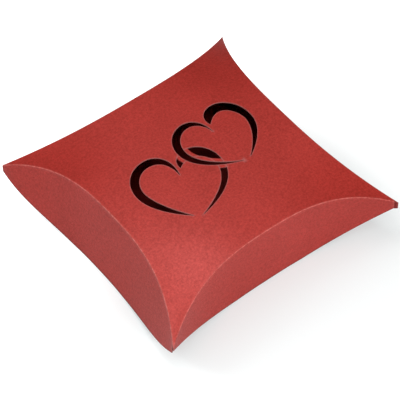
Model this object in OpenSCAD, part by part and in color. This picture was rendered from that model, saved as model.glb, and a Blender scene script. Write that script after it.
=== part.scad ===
// Square pillow favor box, folded from two sheets of thin card.
// The lid has a square panel with a pair of linked hearts cut through it and
// four lens-shaped flaps that hang from its curved creases. The base is the
// same panel turned over, with four low flaps that stand inside the lid's.
// Origin: centre of the flat bottom. +Z is up. Millimetres.

/* [Box] */
// Distance between two neighbouring corners of the box
side = 100; // [70:1:140]
// How far the middle of each curved edge draws in from the straight line between its corners
edge_sag = 12.4; // [6:0.1:16]
// How far a panel rises from its corner tips to its middle, on each half of the box
panel_rise = 11.9; // [6:0.1:18]
// Roundness of the curved edges: 2 is an even bow, more keeps the middle flatter
edge_power = 2.65; // [2:0.05:3.2]
// Height of the upright edge where two flaps meet at a corner
corner_edge_h = 3; // [1.5:0.1:6]
// How much the middle of the lid swells above its creases
lid_dome = 0.8; // [0:0.1:2]
// How far the base panel is pressed flat where the box stands
base_press = 0.4; // [0.2:0.05:0.8]

/* [Card] */
// Thickness of the card
card = 0.35; // [0.25:0.05:0.6]
// Gap between a panel's edge and the flap that folds down from it
crease_gap = 0.12; // [0.08:0.01:0.2]
// Play between the lid's flaps and the base's flaps inside them
nest_gap = 0.5; // [0.4:0.05:1]
// Length cut off each sharp tip of a panel, along its diagonal
tip_cut = 0.6; // [0.3:0.1:2]

/* [Lid flaps] */
// How far the covering end of a lid flap stops before the corner point
flap_long_end = 0.5; // [0.3:0.1:1.5]
// Play at a corner between the other end of a lid flap and the flap that covers it
corner_gap = 0.3; // [0.3:0.05:2]
// How much further back the other end of the front lid flap lies
front_end_back = 0.6; // [0:0.1:4]
// Height of a lid flap's lower edge above the base's lower edge
hem_gap = 0.3; // [0.2:0.05:1]
// How far the front lid flap's lower edge springs outwards
front_lean = 1.7; // [0:0.1:7]
// How far the right lid flap's lower edge springs outwards
right_lean = 1.5; // [0:0.1:7]
// How far the back lid flap's lower edge springs outwards
back_lean = 2; // [0:0.1:7]
// How much higher the front lid flap's lower edge lies at its ends than the others' do
front_end_rise = 1.3; // [0:0.1:1.4]
// How far the left lid flap's lower edge springs outwards
left_lean = 6.5; // [0:0.1:7]
// How evenly a flap leans along its length: more keeps the lean up nearer to its ends
lean_power = 4.8; // [2:0.1:6]
// The same for the front lid flap, which is held in at its ends
front_lean_power = 2.2; // [2:0.1:6]

/* [Base flaps] */
// How far each end of a base flap stops before the corner point
base_flap_end = 9; // [7:0.5:20]
// Height of a base flap's straight upper edge above the middle of the box
base_flap_over = 0; // [-4:0.5:2]

/* [Hearts] */
// Height of the larger heart from its notch to its point
heart_drop = 20; // [14:0.5:22]
// Width of card left between the two hearts where their lines cross
bridge = 1.4; // [0.8:0.1:2]
// Middle of the pair of hearts, measured to the right of the panel's middle
hearts_right = 1.65; // [0:0.05:3]
// Middle of the pair of hearts, measured to the back of the panel's middle
hearts_back = 3.55; // [2:0.05:5]

/* [Hidden] */

// Cells along each side of a panel, stations along a flap and points along a piece of a stroke
panel_cells = 24;
flap_stations = 40;
stroke_steps = 9;
// Turn of each flap about the middle of the box
FRONT = 0;
RIGHT = 90;
BACK = 180;
LEFT = 270;

half = side / 2;
half_edge_h = corner_edge_h / 2;
crease_top = half_edge_h + panel_rise;
// Level of the plane that splits the box into two like halves; the bottom is at zero
mid_z = crease_top - base_press;
// Panel edges lie this far inside the outer faces of the flaps that hang from them
fold_in = card + crease_gap;
base_in = card + nest_gap;
// Overrun of every cut past what it cuts
cut_over = side;

card_red = [0.66, 0.20, 0.19];
inner_red = [0.52, 0.15, 0.14];

// Strokes of the hearts: cubic curves in a row, [right, back, half width], measured from the
// heart's notch as shares of heart_drop. Curves share their end points.
lower_left_share = [
    [0, 0, 0.005], [0.065, 0.335, 0.04], [-0.095, 0.555, 0.088],
    [-0.335, 0.555, 0.083], [-0.59, 0.555, 0.082], [-0.80, 0.34, 0.08],
    [-0.80, 0.055, 0.078], [-0.80, -0.235, 0.082], [-0.555, -0.595, 0.04],
    [-0.34, -0.835, 0.004]
];
lower_right_share = [
    [0.11, 0.115, 0.005], [0.15, 0.24, 0.08], [0.27, 0.30, 0.11],
    [0.415, 0.285, 0.115], [0.60, 0.265, 0.11], [0.73, 0.08, 0.09],
    [0.73, -0.135, 0.068], [0.73, -0.53, 0.06], [0.335, -0.775, 0.05],
    [-0.185, -0.915, 0.004]
];
upper_left_share = [
    [0, 0, 0.005], [-0.01, 0.23, 0.02], [-0.15, 0.39, 0.055],
    [-0.32, 0.39, 0.067], [-0.52, 0.395, 0.075], [-0.735, 0.21, 0.075],
    [-0.735, -0.07, 0.07], [-0.735, -0.38, 0.062], [-0.40, -0.67, 0.035],
    [0.02, -0.845, 0.004]
];
upper_right_share = [
    [0.07, 0.155, 0.005], [0.10, 0.29, 0.095], [0.19, 0.40, 0.105],
    [0.355, 0.40, 0.105], [0.55, 0.40, 0.10], [0.715, 0.19, 0.09],
    [0.715, -0.08, 0.068], [0.715, -0.34, 0.065], [0.48, -0.635, 0.035],
    [0.18, -0.84, 0.004]
];
// From the middle of the pair to the upper heart's notch; the lower heart's lies opposite
notch_share = [0.5275, 0.2125];
pair_mid = [hearts_right, hearts_back];
lower_notch = pair_mid - heart_drop * notch_share;
upper_notch = pair_mid + heart_drop * notch_share;

// How far along the bow a place is: 0 at the middle of a side and 1 at its corner
function bow(x) = pow(abs(x) / half, edge_power);
// Distance of the lid flap's outer face from the middle of the box
function wall_out(x) = half - edge_sag * (1 - bow(x));
// Height of a crease above the middle plane
function crease_z(x) = half_edge_h + panel_rise * (1 - bow(x));
// Tip of a panel whose edges lie inset inside the lid's outer faces, found by stepping to it
function tip_near(inset, guess, steps) =
    steps == 0 ? guess : tip_near(inset, wall_out(guess) - inset, steps - 1);
function tip_of(inset) = tip_near(inset, half, 80);
lid_tip = tip_of(fold_in);
base_tip = tip_of(base_in + fold_in);
// Place along a lid flap where its inner corner meets the inner face of the flap round the corner
function meeting_near(guess, steps) =
    steps == 0 ? guess : meeting_near(wall_out(wall_out(guess) - card) - card, steps - 1);
flap_meeting = meeting_near(half, 80);

// Place on a panel at shares u and v, from -1 to 1 across it
function panel_xy(u, v, tip, inset) =
    [u * (wall_out(tip * v) - inset), v * (wall_out(tip * u) - inset)];
// Fall of a panel below the level of its highest crease
function panel_fall(u, v, tip) = panel_rise * bow(tip * u * v);
function dome_at(u, v) = lid_dome * (1 - u * u) * (1 - v * v);
function lid_top(u, v) = mid_z + crease_top - panel_fall(u, v, lid_tip) + dome_at(u, v);
function base_low(u, v) = max(0, mid_z - crease_top + panel_fall(u, v, base_tip));

// A sheet of card between two grids of points, low and high, each cells + 1 points square
module sheet(low, high) {
    n = panel_cells;
    row = n + 1;
    lift = row * row;
    rim = concat(
        [for (i = [0:n - 1]) i],
        [for (i = [0:n - 1]) n + i * row],
        [for (i = [0:n - 1]) n * row + n - i],
        [for (i = [0:n - 1]) (n - i) * row]
    );
    high_faces = [for (j = [0:n - 1], i = [0:n - 1]) let (k = lift + j * row + i)
        each [[k, k + row, k + row + 1], [k, k + row + 1, k + 1]]];
    low_faces = [for (j = [0:n - 1], i = [0:n - 1]) let (k = j * row + i)
        each [[k, k + row + 1, k + row], [k, k + 1, k + row + 1]]];
    side_faces = [for (i = [0:len(rim) - 1]) let (a = rim[i], b = rim[(i + 1) % len(rim)])
        each [[a, a + lift, b + lift], [a, b + lift, b]]];
    polyhedron(concat(low, high), concat(high_faces, low_faces, side_faces), convexity = 6);
}

// Cuts the sharp tips off a panel, square to its diagonals
module blunt_tips(tip) {
    difference() {
        children();
        for (turn = [FRONT, RIGHT, BACK, LEFT])
            rotate(turn + RIGHT / 2)
                translate([tip * sqrt(2) - tip_cut, -cut_over / 2, -cut_over / 2])
                    cube([cut_over, cut_over, cut_over]);
    }
}

// Middle line of a stroke at step k: [right, back, half width] as shares, and its direction
function cubic(p, t) =
    pow(1 - t, 3) * p[0] + 3 * pow(1 - t, 2) * t * p[1] + 3 * (1 - t) * pow(t, 2) * p[2] + pow(t, 3) * p[3];
function cubic_slope(p, t) =
    pow(1 - t, 2) * (p[1] - p[0]) + 2 * (1 - t) * t * (p[2] - p[1]) + pow(t, 2) * (p[3] - p[2]);
function stroke_side(share, hand, grow) = [
    for (piece = [0:3:len(share) - 4], k = [piece == 0 ? 0 : 1:stroke_steps])
        let (
            p = [for (i = [0:3]) share[piece + i]],
            at = cubic(p, k / stroke_steps),
            way = cubic_slope(p, k / stroke_steps),
            long = norm([way[0], way[1]]),
            out = hand * (at[2] * heart_drop + grow)
        )
        [at[0] * heart_drop - out * way[1] / long, at[1] * heart_drop + out * way[0] / long]
];

// One stroke of a heart, thick and thin, widened on both sides by grow
module stroke(share, notch, grow = 0) {
    left_side = stroke_side(share, 1, grow);
    right_side = stroke_side(share, -1, grow);
    last = len(right_side) - 1;
    translate(notch)
        polygon(concat(left_side, [for (i = [0:last]) right_side[last - i]]));
}

// Both hearts: the lower one passes behind the upper one's left stroke
module hearts() {
    stroke(lower_left_share, lower_notch);
    stroke(upper_left_share, upper_notch);
    stroke(upper_right_share, upper_notch);
    difference() {
        stroke(lower_right_share, lower_notch);
        stroke(upper_left_share, upper_notch, bridge);
    }
}

// A curved wall of card, given as the four corners of its section at each station:
// outer low, inner low, inner high and outer high
module wall(sections) {
    n = flap_stations;
    corners = [for (section = sections) each section];
    long_faces = [for (i = [0:n - 1], c = [0:3]) let (
            a = 4 * i + c,
            b = 4 * i + (c + 1) % 4
        )
        each [[a, b + 4, b], [a, a + 4, b + 4]]];
    first_end = [[0, 1, 2], [0, 2, 3]];
    last_end = [[4 * n, 4 * n + 2, 4 * n + 1], [4 * n, 4 * n + 3, 4 * n + 2]];
    polyhedron(corners, concat(long_faces, first_end, last_end), convexity = 4);
}

function station(i, x0, x1) = x0 + (x1 - x0) * i / flap_stations;

// Flap of the lid, drawn at the front: full height, with the middle of its lower edge leaning out
module lid_flap(turn, lean, power = lean_power, end_back = 0, end_rise = 0) {
    x0 = -(half - flap_long_end);
    x1 = flap_meeting - corner_gap - end_back;
    sections = [for (i = [0:flap_stations]) let (
            x = station(i, x0, x1),
            out = wall_out(x),
            to_end = pow(abs(x / x0), power),
            low_out = out + lean * (1 - to_end),
            high = mid_z + crease_z(x),
            low = max(0, mid_z - crease_z(x)) + hem_gap + end_rise * to_end
        )
        [[x, -low_out, low], [x, card - low_out, low], [x, card - out, high], [x, -out, high]]];
    rotate(turn)
        wall(sections);
}

// Flap of the base, drawn at the front: low, with a straight upper edge
module base_flap(turn) {
    x1 = half - base_flap_end;
    high = mid_z + base_flap_over;
    sections = [for (i = [0:flap_stations]) let (
            x = station(i, -x1, x1),
            out = wall_out(x) - base_in,
            low = max(0, mid_z - crease_z(x))
        )
        [[x, -out, low], [x, card - out, low], [x, card - out, high], [x, -out, high]]];
    rotate(turn)
        wall(sections);
}

module lid_panel() {
    shares = [for (j = [0:panel_cells], i = [0:panel_cells])
        [2 * i / panel_cells - 1, 2 * j / panel_cells - 1]];
    high = [for (uv = shares) concat(panel_xy(uv[0], uv[1], lid_tip, fold_in), [lid_top(uv[0], uv[1])])];
    low = [for (p = high) p - [0, 0, card]];
    color(card_red)
        difference() {
            blunt_tips(lid_tip) sheet(low, high);
            translate([0, 0, mid_z])
                linear_extrude(cut_over) hearts();
        }
}

module base_panel() {
    shares = [for (j = [0:panel_cells], i = [0:panel_cells])
        [2 * i / panel_cells - 1, 2 * j / panel_cells - 1]];
    inset = base_in + fold_in;
    low = [for (uv = shares) concat(panel_xy(uv[0], uv[1], base_tip, inset), [base_low(uv[0], uv[1])])];
    high = [for (p = low) p + [0, 0, card]];
    color(inner_red)
        blunt_tips(base_tip) sheet(low, high);
}

module lid_flap_front() {
    color(card_red)
        lid_flap(FRONT, front_lean, front_lean_power, front_end_back, front_end_rise);
}
module lid_flap_right() { color(card_red) lid_flap(RIGHT, right_lean); }
module lid_flap_back() { color(card_red) lid_flap(BACK, back_lean); }
module lid_flap_left() { color(card_red) lid_flap(LEFT, left_lean); }
module base_flap_front() { color(inner_red) base_flap(FRONT); }
module base_flap_right() { color(inner_red) base_flap(RIGHT); }
module base_flap_back() { color(inner_red) base_flap(BACK); }
module base_flap_left() { color(inner_red) base_flap(LEFT); }

lid_panel();
lid_flap_front();
lid_flap_right();
lid_flap_back();
lid_flap_left();
base_panel();
base_flap_front();
base_flap_right();
base_flap_back();
base_flap_left();
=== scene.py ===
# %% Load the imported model
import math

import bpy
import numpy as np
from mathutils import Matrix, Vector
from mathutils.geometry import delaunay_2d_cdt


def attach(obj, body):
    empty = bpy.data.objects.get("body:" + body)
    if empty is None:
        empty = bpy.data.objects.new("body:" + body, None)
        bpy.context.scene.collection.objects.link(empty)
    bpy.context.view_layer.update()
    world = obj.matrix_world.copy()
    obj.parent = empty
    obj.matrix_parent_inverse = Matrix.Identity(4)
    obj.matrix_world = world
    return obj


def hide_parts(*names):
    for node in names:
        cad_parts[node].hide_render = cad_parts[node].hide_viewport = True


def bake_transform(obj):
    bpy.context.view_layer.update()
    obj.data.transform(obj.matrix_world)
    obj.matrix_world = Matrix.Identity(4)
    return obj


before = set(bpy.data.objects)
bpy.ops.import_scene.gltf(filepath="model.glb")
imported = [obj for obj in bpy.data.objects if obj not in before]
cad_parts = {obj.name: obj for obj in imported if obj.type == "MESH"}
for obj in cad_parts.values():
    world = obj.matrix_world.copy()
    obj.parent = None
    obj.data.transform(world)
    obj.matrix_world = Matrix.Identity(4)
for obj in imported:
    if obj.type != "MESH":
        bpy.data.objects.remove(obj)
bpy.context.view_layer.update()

# %% [markdown]
# # A square favor box, folded from pearl card
#
# The box is two sheets of thin card. Each has a square panel with four curved creases, and a
# lens-shaped flap hangs from every crease. The lid's panel has two linked hearts cut through it,
# and the base, the same panel turned over, stands inside the lid's flaps.
#
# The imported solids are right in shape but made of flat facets. They could be shaded smooth, but
# then their folds would go soft and their cuts stay ragged. So each is replaced here by a piece
# with the same outline, finer curves, a rounded fold along its crease and crisp cut edges.

MM = 0.001

# %% [markdown]
# ## The shape in numbers
#
# Card bends but doesn't stretch, so a curved crease between a level panel and an upright wall
# draws in about as far as it rises. It could be drawn by hand, but then each piece that meets it
# would have to be fitted to it. Here its plan and its height share one bow, which puts it in a
# plane at about 45 degrees, and all pieces take their places from these few functions.
#
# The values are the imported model's, in millimetres. `half` reaches from the middle to a corner
# along one side. A side draws in by `edge_sag` at its middle, a crease rises by `panel_rise` over
# its corners and the panel by `lid_dome` over its creases. The base is pressed flat by
# `base_press`. A fold's round takes up `fold_in`, and the base stands `nest_in` inside the lid.

# %% Sizes of the box, in millimetres
half = 50.0
edge_sag, edge_power = 12.4, 2.65
panel_rise, lid_dome = 11.9, 0.8
half_corner_edge, base_press = 1.5, 0.4
card, fold_in, nest_in = 0.35, 0.47, 0.85
mid_z = half_corner_edge + panel_rise - base_press


def bow(x):
    """0 at the middle of a side and 1 at its corner."""
    return np.abs(np.asarray(x, float) / half) ** edge_power


def wall_out(x):
    """How far out the lid's walls stand at x along a side."""
    return half - edge_sag * (1 - bow(x))


def crease_z(x):
    """Height of the lid's crease."""
    return mid_z + half_corner_edge + panel_rise * (1 - bow(x))


def low_crease_z(x):
    """Height of the base's crease, pressed flat where the box stands."""
    return np.maximum(0, 2 * mid_z - crease_z(x))


print("height of the lid's crease, mm:", float(crease_z(0)), "at its middle")

# %% [markdown]
# ## Places and heights on a panel
#
# A place on a panel is written as two shares from -1 to 1, measured between the curved edges, so
# that a net of places fills the panel evenly up to its tips. Going from plan to shares is a small
# equation without a neat answer, but trying again with the last answer settles it fast. From the
# shares comes the height: level in the middle and falling towards the four tips.

# %% Shares and heights of the panels
tip_tries, share_tries = 80, 60


def panel_tip(inset):
    """Half width at which the curved edges of a panel meet."""
    tip = half
    for _ in range(tip_tries):
        tip = float(wall_out(tip)) - inset
    return tip


def plan_of(u, v, tip, inset):
    """Places in plan for shares across a panel."""
    return np.stack([u * (wall_out(tip * v) - inset), v * (wall_out(tip * u) - inset)], 1)


def panel_shares(x, y, tip, inset):
    """Shares across a panel for places in plan."""
    u, v = x / half, y / half
    for _ in range(share_tries):
        u, v = x / (wall_out(tip * v) - inset), y / (wall_out(tip * u) - inset)
    return u, v


lid_tip, base_inset = panel_tip(fold_in), nest_in + fold_in
base_tip = panel_tip(base_inset)


def lid_top_z(x, y):
    """Height of the lid's outside over a place in plan."""
    u, v = panel_shares(x, y, lid_tip, fold_in)
    dome = lid_dome * (1 - np.clip(u, -1, 1) ** 2) * (1 - np.clip(v, -1, 1) ** 2)
    return mid_z + half_corner_edge + panel_rise * (1 - bow(lid_tip * u * v)) + dome


print("panel tips, mm:", round(lid_tip, 3), round(base_tip, 3))

# %% [markdown]
# ## A helper that turns points and faces into a piece
#
# Sheets could be thickened by a modifier, but it would have to guess where the inside lies at a
# fold or a tip. So both skins and the cut edge between them are made as faces, and each has its own
# finish. Every piece is built the same way: points in millimetres, faces that say which side of the
# card they are, and a few values per point that the materials read. `place` is where the point is
# at rest, so that the grain stays in the card when a flap opens. The other values run from 0 to 1:
# `fold` on a crease, where the coat is worn and a painted highlight lightens it, `cut` beside a cut
# edge, where the card is worn, and `hem` along a flap's free edge, where painted shade darkens it.
# Edges between two sides of the card are marked sharp.

# %% The piece helper
OUTSIDE, INSIDE, EDGE = 0, 1, 2
exact_digits = 12


def turned(points, degrees):
    """Points turned about the box's upright middle axis. Quarter turns come out exact."""
    a = math.radians(degrees)
    c, s = round(math.cos(a), exact_digits), round(math.sin(a), exact_digits)
    p = np.array(points, float)
    p[:, 0], p[:, 1] = c * p[:, 0] - s * p[:, 1], s * p[:, 0] + c * p[:, 1]
    return p


def sharp_edges(mesh, faces, sides):
    """Which edges of the mesh lie between two sides of the card."""
    side_of = {}
    for face, side in zip(faces, sides):
        for a, b in zip(face, face[1:] + face[:1]):
            side_of.setdefault((min(a, b), max(a, b)), set()).add(side)
    return [len(side_of[tuple(sorted(edge.vertices))]) > 1 for edge in mesh.edges]


def card_piece(name, points, faces, sides, finishes, **masks):
    """A mesh object of card. finishes are the materials for OUTSIDE, INSIDE and EDGE."""
    mesh = bpy.data.meshes.new(name)
    mesh.from_pydata([tuple(p * MM) for p in points], [], faces)
    for finish in finishes:
        mesh.materials.append(finish)
    mesh.polygons.foreach_set("material_index", np.array(sides, np.int32))
    mesh.polygons.foreach_set("use_smooth", np.ones(len(faces), bool))
    sharp = mesh.attributes.new("sharp_edge", "BOOLEAN", "EDGE")
    sharp.data.foreach_set("value", sharp_edges(mesh, faces, sides))
    place = mesh.attributes.new("place", "FLOAT_VECTOR", "POINT")
    place.data.foreach_set("vector", np.array(points, np.float32).ravel())
    for key in ("fold", "cut", "hem"):
        values = np.broadcast_to(masks.get(key, 0.0), len(points))
        mask = mesh.attributes.new(key, "FLOAT", "POINT")
        mask.data.foreach_set("value", np.array(values, np.float32))
    mesh.update()
    mesh.validate()
    piece = bpy.data.objects.new(name, mesh)
    bpy.context.scene.collection.objects.link(piece)
    print(name, len(mesh.vertices), "points,", len(mesh.polygons), "faces")
    return piece


# %% [markdown]
# ## The finish: pearl card
#
# Pearl card is dyed paper under a thin coat of mica. Close up it has a fine mottle from the
# fibres, tiny brighter flakes and a soft, wide sheen. A picture of real card would need unwrapping
# and would repeat, so all of it is made from noise. Two effects are shared by all the materials,
# so each is a shader node group: the grain, and the marks that show where the coat cracks on a
# fold, with a painted highlight there, where it breaks beside a cut, and painted shade along a hem.
# These helpers keep the node trees short.

# %% Node helpers: groups


def new_group(name, inputs, outputs):
    """An empty shader node group with the named sockets."""
    group = bpy.data.node_groups.new(name, "ShaderNodeTree")
    for socket, kind, value in inputs:
        made = group.interface.new_socket(socket, in_out="INPUT", socket_type=kind)
        if value is not None:
            made.default_value = value
    for socket, kind in outputs:
        group.interface.new_socket(socket, in_out="OUTPUT", socket_type=kind)
    into, out_of = group.nodes.new("NodeGroupInput"), group.nodes.new("NodeGroupOutput")
    return group, into.outputs, out_of.inputs


def placed(tree, group, place, **values):
    """A group node that reads the place, with the given values on its other inputs."""
    node = tree.nodes.new("ShaderNodeGroup")
    node.node_tree = group
    tree.links.new(place, node.inputs["Place"])
    for key, value in values.items():
        node.inputs[key.replace("_", " ")].default_value = value
    return node


# %% Node helpers: noise, numbers and colours


def noise(tree, place, scale, detail, roughness=0.5):
    """Noise whose scale is in bumps a millimetre."""
    node = tree.nodes.new("ShaderNodeTexNoise")
    tree.links.new(place, node.inputs["Vector"])
    node.inputs["Scale"].default_value = scale
    node.inputs["Detail"].default_value = detail
    node.inputs["Roughness"].default_value = roughness
    return node.outputs["Fac"]


def spread(tree, value, low, high, to_low=0.0, to_high=1.0):
    """Stretches a value from one range to another, without going past it."""
    node = tree.nodes.new("ShaderNodeMapRange")
    tree.links.new(value, node.inputs["Value"])
    node.inputs["From Min"].default_value = low
    node.inputs["From Max"].default_value = high
    node.inputs["To Min"].default_value = to_low
    node.inputs["To Max"].default_value = to_high
    return node.outputs["Result"]


def maths(tree, operation, a, b):
    """One Math node. a and b are sockets or numbers."""
    node = tree.nodes.new("ShaderNodeMath")
    node.operation = operation
    for socket, value in zip(node.inputs, (a, b)):
        if isinstance(value, (int, float)):
            socket.default_value = value
        else:
            tree.links.new(value, socket)
    return node.outputs["Value"]


def mixed(tree, amount, a, b):
    """A Mix of two colours, given as sockets or as red, green and blue, by a mask."""
    node = tree.nodes.new("ShaderNodeMix")
    node.data_type = "RGBA"
    tree.links.new(amount, node.inputs["Factor"])
    colour_a, colour_b, colour_out = node.inputs[6], node.inputs[7], node.outputs[2]
    for socket, value in ((colour_a, a), (colour_b, b)):
        if isinstance(value, tuple):
            socket.default_value = (*value, 1)
        else:
            tree.links.new(value, socket)
    return colour_out


# %% [markdown]
# ## The grain
#
# Three sizes of noise make the card: fibres of about a millimetre, faint clouds as wide as a
# fingertip, where the dye took unevenly, and flakes as fine as sand. One noise with more detail
# would give the fibres alone. The group puts out the mottle for the colour, the flakes for the
# gloss and a height for the relief.

# %% The grain of pearl card as a node group
fibre_scale, cloud_scale, flake_scale = 1.3, 0.055, 6.5
flake_relief = 0.35
grain, g_in, g_out = new_group(
    "pearl grain",
    [("Place", "NodeSocketVector", None), ("Cloud share", "NodeSocketFloat", 0.2)],
    [("Mottle", "NodeSocketFloat"), ("Flakes", "NodeSocketFloat"), ("Height", "NodeSocketFloat")],
)
fibres = noise(grain, g_in["Place"], fibre_scale, detail=4.0, roughness=0.62)
clouds = noise(grain, g_in["Place"], cloud_scale, detail=2.0)
flakes = noise(grain, g_in["Place"], flake_scale, detail=1.0)
clouds_round_zero = spread(grain, clouds, low=0.3, high=0.7, to_low=-0.5, to_high=0.5)
cloudy = maths(grain, "MULTIPLY", clouds_round_zero, g_in["Cloud share"])
mottle = maths(grain, "ADD", spread(grain, fibres, low=0.3, high=0.7), cloudy)
rise = maths(grain, "ADD", fibres, maths(grain, "MULTIPLY", flakes, flake_relief))
grain.links.new(mottle, g_out["Mottle"])
grain.links.new(spread(grain, flakes, low=0.58, high=0.74), g_out["Flakes"])
grain.links.new(rise, g_out["Height"])
print("node group:", grain.name, "of", len(grain.nodes), "nodes")

# %% [markdown]
# ## Wear, painted highlight and painted shade
#
# A coat cracks in patches, not in an even line. The patches could be painted, but then each flap
# would need its own. So the mask that a piece carries, such as how near a point is to a fold, is
# thinned out by a noise. `Break up` says how much: at 0 the mask stays whole, at 1 it has holes.
# The same group breaks up the painted highlight on a fold and the painted shade along a hem.

# %% Wear, painted highlight and painted shade, broken up by a noise, as a node group
# This group also breaks up the painted highlight on folds and the painted shade along hems.
patch_scale = 0.9
wear_and_light, w_in, w_out = new_group(
    "card wear",
    [
        ("Place", "NodeSocketVector", None),
        ("Amount", "NodeSocketFloat", 0.0),
        ("Break up", "NodeSocketFloat", 0.5),
    ],
    [("Mask", "NodeSocketFloat")],
)
patchy = noise(wear_and_light, w_in["Place"], patch_scale, detail=3.0, roughness=0.6)
patches = spread(wear_and_light, patchy, low=0.32, high=0.68)
holes = maths(wear_and_light, "MULTIPLY", maths(wear_and_light, "SUBTRACT", 1.0, patches), w_in["Break up"])
worn_and_painted_light = maths(wear_and_light, "MULTIPLY", w_in["Amount"], maths(wear_and_light, "SUBTRACT", 1.0, holes))
wear_and_light.links.new(spread(wear_and_light, worn_and_painted_light, low=0.0, high=1.0), w_out["Mask"])
print("node group:", wear_and_light.name, "of", len(wear_and_light.nodes), "nodes")

# %% [markdown]
# ## Three finishes a sheet
#
# Each sheet has its outside, its inside, which is a little duller, and its cut edge, where the
# dyed fibres show without their coat. They differ only in their values, so one function makes all
# of them. The mottle runs from a deep to a bright red. Where a fold is cracked the coat goes pale,
# and a painted highlight there makes it paler still. Beside a cut the paper's core shows, and
# along a hem painted shade darkens the colour.

# %% The colour and the gloss of a card finish
# The pale fold colour is worn coat lightened further as a painted highlight; the hem colour, a
# share of the deep red, is painted shade.
cloud_share, hem_shade_share = 0.2, 0.45
pale_core = (0.42, 0.18, 0.17)
wear_and_light_places = {  # how broken up the wear is, and how much of the colour it covers
    "fold": (0.85, 0.85),
    "cut": (0.3, 0.6),
    "hem": (0.4, 0.8),
}
rough_lift, mottle_gloss, flake_gloss = 0.06, 0.12, 0.14
coat_tint, relief_height = (1.0, 0.97, 0.97, 1), 0.03 * MM


def card_colour(tree, place, mottle, deep, bright, cracked_and_highlight):
    """The mottled colour with worn folds and cuts, a painted highlight on folds and painted shade
    along hems.
    """
    colour = mixed(tree, mottle, deep, bright)
    # The hem's colour is the deep red darkened: painted shade along a flap's free edge.
    hem_shade = tuple(hem_shade_share * c for c in deep)
    for key, shown in (("fold", cracked_and_highlight), ("cut", pale_core), ("hem", hem_shade)):
        amount = tree.nodes.new("ShaderNodeAttribute")
        amount.attribute_name = key
        break_up, cover = wear_and_light_places[key]
        wear_and_light_node = placed(tree, wear_and_light, place, Break_up=break_up)
        tree.links.new(amount.outputs["Fac"], wear_and_light_node.inputs["Amount"])
        covered = maths(tree, "MULTIPLY", wear_and_light_node.outputs["Mask"], cover)
        colour = mixed(tree, covered, colour, shown)
    return colour


def card_roughness(tree, mottle, flakes, rough):
    """Roughness that drops a little on the bright fibres and the flakes."""
    fibre_part = maths(tree, "MULTIPLY", mottle, mottle_gloss)
    flake_part = maths(tree, "MULTIPLY", flakes, flake_gloss)
    return maths(
        tree, "SUBTRACT", maths(tree, "SUBTRACT", rough + rough_lift, fibre_part), flake_part
    )


# %% The card materials
# Each row: deep, bright, and the pale colour of a cracked fold, which is also a painted highlight.
card_colours = {  # deep, bright and cracked
    "lid_card_outside": ((0.30, 0.023, 0.016), (0.49, 0.044, 0.035), (0.72, 0.23, 0.20)),
    "lid_card_inside": ((0.25, 0.013, 0.009), (0.34, 0.022, 0.016), (0.42, 0.08, 0.07)),
    "lid_card_edge": ((0.18, 0.035, 0.030), (0.28, 0.07, 0.06), (0.36, 0.13, 0.12)),
    "base_card_outside": ((0.29, 0.022, 0.015), (0.47, 0.043, 0.034), (0.60, 0.14, 0.13)),
    "base_card_inside": ((0.24, 0.012, 0.009), (0.33, 0.021, 0.015), (0.40, 0.08, 0.07)),
    "base_card_edge": ((0.18, 0.035, 0.030), (0.28, 0.07, 0.06), (0.36, 0.13, 0.12)),
}
coated = {"relief": 0.7, "shine": 0.38, "metal": 0.15}
uncoated = {"rough": 0.7, "relief": 0.7, "shine": 0.3, "metal": 0.0}
cut_through = {"rough": 0.85, "relief": 0.9, "shine": 0.3, "metal": 0.0}


def card_finish(name, rough, relief, shine, metal):
    """The material of one side of a sheet, in the colours listed under its name."""
    finish = bpy.data.materials.new(name)
    finish.use_nodes = True
    tree = finish.node_tree
    shader = tree.nodes["Principled BSDF"]
    at_rest = tree.nodes.new("ShaderNodeAttribute")
    at_rest.attribute_name = "place"
    place = at_rest.outputs["Vector"]
    grained = placed(tree, grain, place, Cloud_share=cloud_share).outputs
    colour = card_colour(tree, place, grained["Mottle"], *card_colours[name])
    tree.links.new(colour, shader.inputs["Base Color"])
    roughness = card_roughness(tree, grained["Mottle"], grained["Flakes"], rough)
    tree.links.new(roughness, shader.inputs["Roughness"])
    shader.inputs["Metallic"].default_value = metal
    shader.inputs["Specular IOR Level"].default_value = shine
    shader.inputs["Specular Tint"].default_value = coat_tint
    bump = tree.nodes.new("ShaderNodeBump")
    bump.inputs["Strength"].default_value = relief
    bump.inputs["Distance"].default_value = relief_height
    tree.links.new(grained["Height"], bump.inputs["Height"])
    tree.links.new(bump.outputs["Normal"], shader.inputs["Normal"])
    return finish


lid_finishes = [
    card_finish("lid_card_outside", rough=0.37, **coated),
    card_finish("lid_card_inside", **uncoated),
    card_finish("lid_card_edge", **cut_through),
]
base_finishes = [
    card_finish("base_card_outside", rough=0.40, **coated),
    card_finish("base_card_inside", **uncoated),
    card_finish("base_card_edge", **cut_through),
]
print("finishes:", [m.name for m in lid_finishes + base_finishes])

# %% [markdown]
# ## The linked hearts
#
# The hearts are open cuts, drawn as pen strokes that swell and thin out. Their outlines could be
# drawn point by point, but a stroke is easier to draw and to mend as a row of cubic curves for its
# middle line, with a half width at every point. All are shares of `heart_drop`, about the drop
# from a heart's notch to its tip, and are counted from the notch. `pair_mid` lies midway between
# the two notches. The lower heart's right stroke stops a little short of the upper heart's left
# one, so the card stays in one piece: such bridges are what a cut-out pattern needs.

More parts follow.
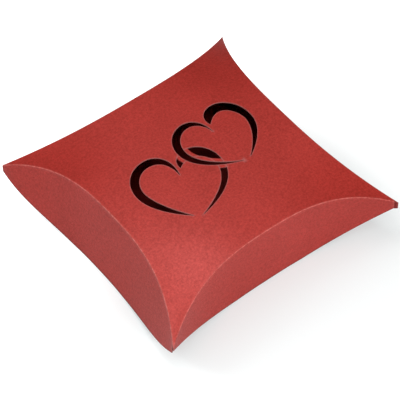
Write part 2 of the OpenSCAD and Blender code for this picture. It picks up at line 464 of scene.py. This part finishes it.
# %% The strokes as shares of a heart's drop
heart_drop, bridge = 20.0, 1.4
pair_mid = np.array([1.65, 3.55])
notch_share = np.array([0.5275, 0.2125])
lower_notch, upper_notch = pair_mid - heart_drop * notch_share, pair_mid + heart_drop * notch_share
lower_left_share = [
    [0, 0, 0.005], [0.065, 0.335, 0.04], [-0.095, 0.555, 0.088],
    [-0.335, 0.555, 0.083], [-0.59, 0.555, 0.082], [-0.80, 0.34, 0.08],
    [-0.80, 0.055, 0.078], [-0.80, -0.235, 0.082], [-0.555, -0.595, 0.04],
    [-0.34, -0.835, 0.004],
]
lower_right_share = [
    [0.11, 0.115, 0.005], [0.15, 0.24, 0.08], [0.27, 0.30, 0.11],
    [0.415, 0.285, 0.115], [0.60, 0.265, 0.11], [0.73, 0.08, 0.09],
    [0.73, -0.135, 0.068], [0.73, -0.53, 0.06], [0.335, -0.775, 0.05],
    [-0.185, -0.915, 0.004],
]
upper_left_share = [
    [0, 0, 0.005], [-0.01, 0.23, 0.02], [-0.15, 0.39, 0.055],
    [-0.32, 0.39, 0.067], [-0.52, 0.395, 0.075], [-0.735, 0.21, 0.075],
    [-0.735, -0.07, 0.07], [-0.735, -0.38, 0.062], [-0.40, -0.67, 0.035],
    [0.02, -0.845, 0.004],
]
upper_right_share = [
    [0.07, 0.155, 0.005], [0.10, 0.29, 0.095], [0.19, 0.40, 0.105],
    [0.355, 0.40, 0.105], [0.55, 0.40, 0.10], [0.715, 0.19, 0.09],
    [0.715, -0.08, 0.068], [0.715, -0.34, 0.065], [0.48, -0.635, 0.035],
    [0.18, -0.84, 0.004],
]
print("notches, mm:", lower_notch.tolist(), upper_notch.tolist())

# %% Outlines of the strokes


def stroke(shares, notch, grow=0.0, steps=26):
    """Outline of a stroke in plan, widened on both sides by grow."""
    table = np.array(shares, float)
    one, other = [], []
    for start in range(0, len(table) - 1, 3):
        p = table[start : start + 4]
        for k in range(0 if start == 0 else 1, steps + 1):
            t = k / steps
            s = 1 - t
            at = s**3 * p[0] + 3 * s**2 * t * p[1] + 3 * s * t * t * p[2] + t**3 * p[3]
            way = s**2 * (p[1] - p[0]) + 2 * s * t * (p[2] - p[1]) + t * t * (p[3] - p[2])
            across = np.array([-way[1], way[0]]) / np.hypot(way[0], way[1])
            centre, out = notch + at[:2] * heart_drop, at[2] * heart_drop + grow
            one.append(centre + out * across)
            other.append(centre - out * across)
    return np.array(one + other[::-1])


cut_outlines = [
    stroke(lower_left_share, lower_notch), stroke(upper_left_share, upper_notch),
    stroke(upper_right_share, upper_notch), stroke(lower_right_share, lower_notch),
]
bridge_outline = stroke(upper_left_share, upper_notch, bridge)
print("strokes:", len(cut_outlines), "with", sum(map(len, cut_outlines)), "points in all")

# %% [markdown]
# ## What lies in a cut, and how far it is
#
# To leave the strokes out of the panel, the script has to tell which places lie in them. A point
# is inside an outline when a line from it to one side crosses the outline an odd number of times.
# The distance to the outline then says where the card is worn and where a point would be too close
# to a line to give a good triangle.

# %% Tests against outlines


def inside(points, outline):
    """Which points lie in a closed outline."""
    hit = np.zeros(len(points), bool)
    x, y = points[:, 0], points[:, 1]
    for (ax, ay), (bx, by) in zip(outline, np.roll(outline, -1, axis=0)):
        crosses = (ay > y) != (by > y)
        if by != ay:
            hit ^= crosses & (x < (bx - ax) * (y - ay) / (by - ay) + ax)
    return hit


def nearest(points, outline):
    """Distance of each point from the nearest stretch of a closed outline."""
    best = np.full(len(points), np.inf)
    for a, b in zip(outline, np.roll(outline, -1, axis=0)):
        d = b - a
        length = d @ d
        if length == 0:
            continue
        t = np.clip((points - a) @ d / length, 0, 1)
        best = np.minimum(best, np.linalg.norm(points - a - t[:, None] * d, axis=1))
    return best


def nearest_of(points, outlines):
    """Distance of each point from the nearest of several outlines."""
    return np.min([nearest(points, line) for line in outlines], axis=0)


def in_cuts(points):
    """Which places in plan are cut away."""
    lower_left, upper_left, upper_right, lower_right = (inside(points, c) for c in cut_outlines)
    return lower_left | upper_left | upper_right | (lower_right & ~inside(points, bridge_outline))


# %% [markdown]
# ## The lid's panel
#
# Cutting such thin strokes with a boolean on a coarse mesh leaves ragged edges. Here the outline,
# the strokes and a net of points between them go into one triangulation that keeps the lines as
# edges. Rows of points close beside each line keep the triangles there narrow, so that the wear
# stays a thin line. Near its tips the outline bends sharply and gets more points, and the tips are
# blunt by `tip_cut`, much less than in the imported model, so that no table shows through there.

# %% The outline of a panel
outline_count, tip_cut = 100, 0.05
tip_steps = np.array([0.6, 0.4, 0.25, 0.15, 0.08, 0.04])
quarter_turns = (0, 90, 180, 270)


def panel_outline(tip, inset):
    """The four curved edges of a panel in plan, with blunt tips."""
    near_tip = tip - tip_steps
    evenly = np.linspace(-tip, tip, outline_count + 1)
    xs = np.unique(np.concatenate([evenly, near_tip, -near_tip]))
    edge = np.stack([xs, -(wall_out(xs) - inset)], 1)
    blunt = 2 * tip - tip_cut * math.sqrt(2)
    edge = edge[np.abs(edge[:, 0]) - edge[:, 1] < blunt]
    return np.concatenate([turned(edge, a)[:, :2] for a in quarter_turns])


outline = panel_outline(lid_tip, fold_in)
print("panel outline:", len(outline), "points")

# %% Points between and beside the lines
net_count, net_reach, net_gap = 62, 0.985, 0.6
fold_rims, cut_rims, rim_gap = (0.2, 0.45), (0.18, 0.42), 0.12
rim_tip_share = 1.5
net_shares = np.linspace(-net_reach, net_reach, net_count)
net_u, net_v = (m.ravel() for m in np.meshgrid(net_shares, net_shares))
net = plan_of(net_u, net_v, lid_tip, fold_in)
rims = [panel_outline(lid_tip - d * rim_tip_share, fold_in + d) for d in fold_rims]
for cut_line in cut_outlines:
    step = np.roll(cut_line, -1, axis=0) - np.roll(cut_line, 1, axis=0)
    across = np.stack([step[:, 1], -step[:, 0]], 1) / np.linalg.norm(step, axis=1)[:, None]
    rims += [cut_line + sign * d * across for d in cut_rims for sign in (1, -1)]
rims = np.concatenate(rims)
cut_lines = cut_outlines + [bridge_outline]
net = net[(nearest_of(net, cut_lines) > net_gap) & (nearest(net, outline) > net_gap)]
rims = rims[(nearest_of(rims, cut_lines) > rim_gap) & (nearest(rims, outline) > rim_gap)]
rims = rims[inside(rims, outline) & ~in_cuts(rims)]
print("panel points:", len(net), "in the net,", len(rims), "beside cuts and folds")

# %% Triangles of the lid's panel
same_point = 1e-5
lines, line_points = [], []
for loop in [outline, *cut_lines]:
    first = len(line_points)
    line_points += [Vector(p) for p in loop]
    lines += [(first + i, first + (i + 1) % len(loop)) for i in range(len(loop))]
loose = [Vector(p) for p in np.concatenate([net, rims])]
found, _, triangles, *_ = delaunay_2d_cdt(line_points + loose, lines, [], 0, same_point)
plan = np.array([tuple(p) for p in found])
triangles = np.array([t for t in triangles if len(t) == 3])
centres = plan[triangles].mean(axis=1)
triangles = triangles[inside(centres, outline) & ~in_cuts(centres)]
used, triangles = np.unique(triangles, return_inverse=True)
plan, triangles = plan[used], triangles.reshape(-1, 3)
one, two, three = (plan[triangles[:, k]] for k in range(3))
to_two, to_three = two - one, three - one
clockwise = to_two[:, 0] * to_three[:, 1] < to_two[:, 1] * to_three[:, 0]
triangles[clockwise] = triangles[clockwise][:, ::-1]
print("lid panel:", len(plan), "places,", len(triangles), "triangles")

# %% [markdown]
# ## From flat faces to a sheet
#
# Lifted to its height, the flat net is the outside of the sheet, and a copy one card thickness
# further in is its inside. The sides of the cuts could be drawn stroke by stroke. Here one helper,
# for the lid's panel and the base's, finds each edge that only one face has and puts a wall there.

# %% The sheet helper


def open_edges(faces):
    """Edges that only one face has, in that face's direction."""
    alone = {}
    for face in faces:
        for a, b in zip(face, face[1:] + face[:1]):
            alone[(a, b)] = (b, a) not in alone
            if (b, a) in alone:
                alone[(b, a)] = False
    return [edge for edge, is_open in alone.items() if is_open]


def sheet_mesh(plan, faces, outer_z, inner_z):
    """Points, faces and sides of a sheet whose outside is the skin outer_z."""
    n = len(plan)
    points = np.concatenate([np.column_stack([plan, outer_z]), np.column_stack([plan, inner_z])])
    skin = [list(map(int, f)) for f in faces]
    if outer_z.mean() < inner_z.mean():
        skin = [f[::-1] for f in skin]
    other_skin = [[n + i for i in f[::-1]] for f in skin]
    walls = [[b, a, n + a, n + b] for a, b in open_edges(skin)]
    sides = [OUTSIDE] * len(skin) + [INSIDE] * len(other_skin) + [EDGE] * len(walls)
    return points, skin + other_skin + walls, sides


# %% The lid's panel
# The panel's edge by a crease gets a little of the fold's pale colour: worn coat with a painted
# highlight.
fold_wear_and_highlight, fold_line_width, cut_wear_width = 0.1, 0.2, 0.3
top_z = lid_top_z(plan[:, 0], plan[:, 1])
points, faces, sides = sheet_mesh(plan, triangles, top_z, top_z - card)
fold_near = fold_wear_and_highlight * np.clip(1 - nearest(plan, outline) / fold_line_width, 0, 1)
cut_near = np.clip(1 - nearest_of(plan, cut_outlines) / cut_wear_width, 0, 1)
panel_masks = {"fold": np.tile(fold_near, 2), "cut": np.tile(cut_near, 2)}
lid_panel_card = card_piece(
    "lid_panel_card", points, faces, sides, lid_finishes, **panel_masks
)
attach(lid_panel_card, "lid")
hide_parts("lid_panel")

# %% [markdown]
# ## The flaps and their folds
#
# A fold in card is a small round, not a knife edge: its outer radius is a little more than the
# card's thickness. A bevel modifier could round it, but it wouldn't know which points are worn.
# Each flap is a grid of points instead: along the crease in stations, and round the fold and down
# the flap in rows. Its top row lies on the curve of the panel's edge. The pale colour on the fold
# is worn coat with a painted highlight. It is strongest halfway round the fold, the part that
# stands out furthest and is rubbed first.

# %% The skins and the masks of a flap
# How the fold's worn coat and painted highlight peak round the fold, and how wide the ends' wear
# and the hem's painted shade are.
fold_rows, fold_wear_and_highlight_power = 10, 3
end_wear, end_wear_width, hem_shade_width = 0.4, 0.35, 0.45


def flap_skin(inset, out, z_fold, low_out, height, down, flap_rows):
    """Rows of one skin, each as its places out from the middle and its heights."""
    r = fold_in - inset
    rows = []
    for k in range(fold_rows + 1):
        a = math.pi / 2 * (1 - k / fold_rows)
        rows.append((out - fold_in + r * math.cos(a), z_fold + down * (fold_in - r * math.sin(a))))
    for k in range(1, flap_rows + 1):
        t = k / flap_rows
        rows.append((out + (low_out - out) * t - inset, z_fold + down * (fold_in + height * t)))
    return rows


def flap_masks(xs, points, height, flap_rows):
    """Where a flap is marked: worn coat and a painted highlight round its fold, wear at its two
    ends and painted shade along its free edge.
    """
    n_rows = fold_rows + flap_rows + 1
    row = np.tile(np.repeat(np.arange(n_rows), len(xs)), 2)
    heights = np.tile(height, 2 * n_rows)
    past_fold = np.clip(row - fold_rows, 0, None) * heights / flap_rows
    to_end = np.minimum(points[:, 0] - xs[0], xs[-1] - points[:, 0])
    round_fold = (1 - fold_wear_and_highlight) * np.sin(math.pi * row / fold_rows) ** fold_wear_and_highlight_power
    # fold: worn coat and painted highlight; cut: wear at the ends; hem: painted shade along the
    # free edge.
    return {
        "fold": np.where(row > fold_rows, 0, fold_wear_and_highlight + round_fold),
        "cut": end_wear * np.clip(1 - to_end / end_wear_width, 0, 1),
        "hem": np.clip(1 - (heights - past_fold) / hem_shade_width, 0, 1),
    }


# %% The flap helper


def flap_mesh(xs, out, z_fold, low_out, z_low, down, flap_rows=26):
    """Points, faces, sides and masks of a flap drawn at the front. down is -1 or 1."""
    height = np.abs(z_low - z_fold) - fold_in
    skins = [flap_skin(i, out, z_fold, low_out, height, down, flap_rows) for i in (0.0, card)]
    n_rows, n = fold_rows + flap_rows + 1, len(xs)
    points = np.concatenate([np.stack([xs, -o, z], 1) for skin in skins for o, z in skin])

    def spot(skin, row, i):
        return (skin * n_rows + row) * n + i

    def quad(skin, row, i):
        next_row = [spot(skin, row + 1, i + 1), spot(skin, row + 1, i)]
        return [spot(skin, row, i), spot(skin, row, i + 1)] + next_row

    faces, sides = [], []
    for row in range(n_rows - 1):
        for i in range(n - 1):
            faces += [quad(0, row, i)[::-1], quad(1, row, i)]
            sides += [OUTSIDE, INSIDE]
        for i in (0, n - 1):
            wall = [spot(0, row, i), spot(1, row, i), spot(1, row + 1, i), spot(0, row + 1, i)]
            faces.append(wall if i == 0 else wall[::-1])
            sides.append(EDGE)
    for i in range(n - 1):
        for row in (0, n_rows - 1):
            wall = [spot(0, row, i), spot(1, row, i), spot(1, row, i + 1), spot(0, row, i + 1)]
            faces.append(wall if row else wall[::-1])
            sides.append(EDGE)
    if down > 0:
        faces = [f[::-1] for f in faces]
    return points, faces, sides, flap_masks(xs, points, height, flap_rows)


# %% [markdown]
# ## The lid's flaps
#
# At every corner one flap covers the end of the next, with a little play between them, so the
# covered end's place follows from the covering flap's inner face. The play is less than in the
# imported model, whose flaps need more of it to swing.
#
# `lean` is how far a flap's lower edge stands out at its middle: the left one has sprung furthest.
# `power` says how suddenly it goes back in towards the ends, `end_rise` lifts the lower edge there
# and `end_back` shortens the covered end. The last value says how worn the fold is and how strong
# its painted highlight is, from 0 to 1.
#
# A flap could turn as one rigid piece with a gap at the fold, but card has no gap there. So each
# flap is one piece together with its fold.

# %% The ends, the leans and the bends of the lid's flaps
long_end, corner_gap, hem_gap = 0.5, 0.1, 0.3
meeting = half
for _ in range(tip_tries):
    meeting = float(wall_out(wall_out(meeting) - card)) - card
# The last value of each flap scales its fold's wear and painted highlight.
lid_flaps = {
    "front": {"turn": 0, "lean": 1.7, "power": 2.2, "end_back": 0.6, "end_rise": 1.3, "worn_and_painted_light": 0.8},
    "right": {"turn": 90, "lean": 1.5, "power": 4.8, "end_back": 0.0, "end_rise": 0.0, "worn_and_painted_light": 0.3},
    "back": {"turn": 180, "lean": 2.0, "power": 4.8, "end_back": 0.0, "end_rise": 0.0, "worn_and_painted_light": 0.3},
    "left": {"turn": 270, "lean": 6.5, "power": 4.8, "end_back": 0.0, "end_rise": 0.0, "worn_and_painted_light": 1.0},
}
print("covered flap ends, mm from the middle:", round(meeting - corner_gap, 3))

# %% Make the lid's flaps
lid_stations = 98
for name, way in lid_flaps.items():
    degrees, first, last = way["turn"], -(half - long_end), meeting - corner_gap - way["end_back"]
    xs = np.linspace(first, last, lid_stations)
    out = wall_out(xs)
    to_end = np.abs(xs / first) ** way["power"]
    low_out = out + way["lean"] * (1 - to_end)
    z_low = low_crease_z(xs) + hem_gap + way["end_rise"] * to_end
    points, faces, sides, masks = flap_mesh(xs, out, crease_z(xs), low_out, z_low, -1)
    masks["fold"] = masks["fold"] * way["worn_and_painted_light"]
    flap = card_piece(
        f"lid_flap_{name}_card", turned(points, degrees), faces, sides, lid_finishes, **masks
    )
    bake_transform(flap)
    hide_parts(f"lid_flap_{name}")

# %% [markdown]
# ## The base
#
# The base's panel is the lid's turned over and pressed flat where it stands. It could be made by
# the same triangulation, but it has no pattern, so a plain grid of shares is enough, with rows
# close together at its edges.

# %% The base's panel
inner_share, inner_count, outer_shares = 0.975, 57, np.array([0.992, 1])
base_fold_width = 0.3
inner_shares = np.linspace(-inner_share, inner_share, inner_count)
grid = np.concatenate([-outer_shares[::-1], inner_shares, outer_shares])
count = len(grid)
grid_u, grid_v = (g.ravel() for g in np.meshgrid(grid, grid))
plan = plan_of(grid_u, grid_v, base_tip, base_inset)
firsts = [j * count + i for j in range(count - 1) for i in range(count - 1)]
quads = [[k, k + 1, k + count + 1, k + count] for k in firsts]
under_z = np.maximum(0, panel_rise * bow(base_tip * grid_u * grid_v) - base_press)
points, faces, sides = sheet_mesh(plan, quads, under_z, under_z + card)
base_outline = panel_outline(base_tip, base_inset)
# The base's crease gets the pale fold colour too: worn coat and painted highlight.
fold_near = np.clip(1 - nearest(plan, base_outline) / base_fold_width, 0, 1)
base_panel_card = card_piece(
    "base_panel_card", points, faces, sides, base_finishes, fold=np.tile(fold_near, 2)
)
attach(base_panel_card, "base")
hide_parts("base_panel")

# %% [markdown]
# ## The base's flaps
#
# They are the lid's flaps turned over, low and with straight upper edges. The lid hides them until
# it is lifted, so they have fewer rows, but they have the same rounded fold as the others.

# %% Make the base's flaps
base_end, base_flap_z = 9.0, mid_z
base_stations, base_rows = 84, 14
for name, way in lid_flaps.items():
    degrees = way["turn"]
    xs = np.linspace(-(half - base_end), half - base_end, base_stations)
    out = wall_out(xs) - nest_in
    points, faces, sides, masks = flap_mesh(
        xs, out, low_crease_z(xs), out, np.full_like(xs, base_flap_z), 1, base_rows
    )
    flap = card_piece(
        f"base_flap_{name}_card", turned(points, degrees), faces, sides, base_finishes, **masks
    )
    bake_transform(flap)
    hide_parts(f"base_flap_{name}")

# %% [markdown]
# ## The camera
#
# The camera stands high over the near corner, far enough away for a long lens. It could be aimed
# with a constraint, but its place and its two directions were worked out from the creases in the
# photo, so they are written down as they are.

# %% The camera
camera_place = (-0.29251, -0.37905, 0.61857)
lens, sensor_width, near_clip, far_clip = 197.4, 36, 0.01, 20
camera_right = Vector((0.7885, -0.6151, -0.0036)).normalized()
camera_view = Vector((0.3763, 0.4870, -0.7882)).normalized()
camera_up = camera_right.cross(camera_view).normalized()
camera_right = camera_view.cross(camera_up)
camera_data = bpy.data.cameras.new("camera")
camera_data.sensor_width = sensor_width
camera_data.lens = lens
camera_data.clip_start, camera_data.clip_end = near_clip, far_clip
camera = bpy.data.objects.new("camera", camera_data)
camera.matrix_world = Matrix.Translation(camera_place) @ Matrix(
    (camera_right, camera_up, -camera_view)
).transposed().to_4x4()
bpy.context.scene.collection.objects.link(camera)
bpy.context.scene.camera = camera
print("camera, m from the middle of the box:", round(Vector(camera_place).length, 3))

# %% [markdown]
# ## The table
#
# The table in the photo is white. One that is really white throws so much light up at the flaps
# that they go pink and lose their shading. So this one has a mid tone, and glows for the camera
# alone, which makes it white without lighting the box. Close to the box it glows less, most of all
# in front of it, so the box's cast shadow stays and the dimmer glow adds painted shade around it.

# %% The table
table_half, table_drop = 3.0, -0.00004
table_tone, table_roughness = (0.54, 0.57, 0.57, 1), 0.9
# Out to shadow_reach round shadow_middle, a little in front of the box, the glow drops to
# shadow_glow: painted shade on the table beside the cast shadow.
shadow_middle, shadow_reach, clear_reach, shadow_glow = (0.004, -0.03, 0), 0.05, 0.1, 0.38
table_corners = [(-1, -1), (1, -1), (1, 1), (-1, 1)]
table_mesh = bpy.data.meshes.new("table")
table_mesh.from_pydata(
    [(x * table_half, y * table_half, 0) for x, y in table_corners], [], [(0, 1, 2, 3)]
)
table = bpy.data.objects.new("table", table_mesh)
table.location.z = table_drop
bpy.context.scene.collection.objects.link(table)
table_finish = bpy.data.materials.new("white_table")
table_finish.use_nodes = True
tree = table_finish.node_tree
shader = tree.nodes["Principled BSDF"]
shader.inputs["Base Color"].default_value = table_tone
shader.inputs["Roughness"].default_value = table_roughness
for_camera = tree.nodes.new("ShaderNodeLightPath").outputs["Is Camera Ray"]
away = tree.nodes.new("ShaderNodeVectorMath")
away.operation = "DISTANCE"
tree.links.new(tree.nodes.new("ShaderNodeTexCoord").outputs["Object"], away.inputs[0])
away.inputs[1].default_value = shadow_middle
glow = spread(tree, away.outputs["Value"], shadow_reach, clear_reach, shadow_glow, 1.0)
shader.inputs["Emission Color"].default_value = (1, 1, 1, 1)
tree.links.new(maths(tree, "MULTIPLY", for_camera, glow), shader.inputs["Emission Strength"])
table_mesh.materials.append(table_finish)
print("table:", 2 * table_half, "m square")

# %% [markdown]
# ## The light
#
# A catalogue picture is lit by large soft lamps on all sides. One even sky would be simpler, but
# the panel would lose its sheen and the flaps their shape. Two lamps high over the panel give it
# the sheen, the one in front for the highlight near the front corner. Two low ones in front and at
# the front right light the front flap, two at the left and back left light the left flap, and a
# weak one at the back right keeps the far side from going dull. Each is given by the direction it
# stands in, turned from the front towards the right, its height in degrees and its power in watts.
#
# Seen at a low angle from across the box, the panel would mirror a low lamp and wash out. So the
# lamps that light the flaps are left out of glossy reflections.

# %% The lamps and the room
lamp_reach, lamp_size = 1.2, 0.6
lamps = {  # turn, height, power
    "over_front_left": (330, 70, 3.3),
    "over_back": (180, 76, 3.2),
    "high_back_right": (135, 60, 0.4),
    "low_front": (0, 28, 9.0),
    "low_front_right": (25, 24, 4.6),
    "back_left": (225, 38, 7.2),
    "low_left": (250, 20, 2.6),
}
without_glare = ("low_front", "low_front_right", "back_left", "low_left")


def direction(turn, height):
    """The way from the box to a lamp, from two angles in degrees."""
    turn, height = math.radians(turn), math.radians(height)
    level = math.cos(height)
    return Vector((math.sin(turn) * level, -math.cos(turn) * level, math.sin(height)))


for name, (turn, height, power) in lamps.items():
    towards = direction(turn, height)
    lamp_data = bpy.data.lights.new(name, "AREA")
    lamp_data.size = lamp_size
    lamp_data.energy = power
    lamp = bpy.data.objects.new(name, lamp_data)
    lamp.location = towards * lamp_reach
    lamp.rotation_mode = "QUATERNION"
    lamp.rotation_quaternion = (-towards).to_track_quat("-Z", "Y")
    lamp.visible_glossy = name not in without_glare
    bpy.context.scene.collection.objects.link(lamp)
room = bpy.data.worlds.new("room")
bpy.context.scene.world = room
room.use_nodes = True
background = room.node_tree.nodes["Background"]
background.inputs["Color"].default_value = (1, 1, 1, 1)
for_camera = room.node_tree.nodes.new("ShaderNodeLightPath").outputs["Is Camera Ray"]
room.node_tree.links.new(for_camera, background.inputs["Strength"])
print("lamps:", len(lamps), "of", round(sum(p for _, _, p in lamps.values()), 1), "W in all")

# %% [markdown]
# ## Colours as written
#
# The Standard view shows each colour about as it was written, so the card can be matched to the
# photo by its numbers.

# %% Colour handling
bpy.context.scene.view_settings.view_transform = "Standard"
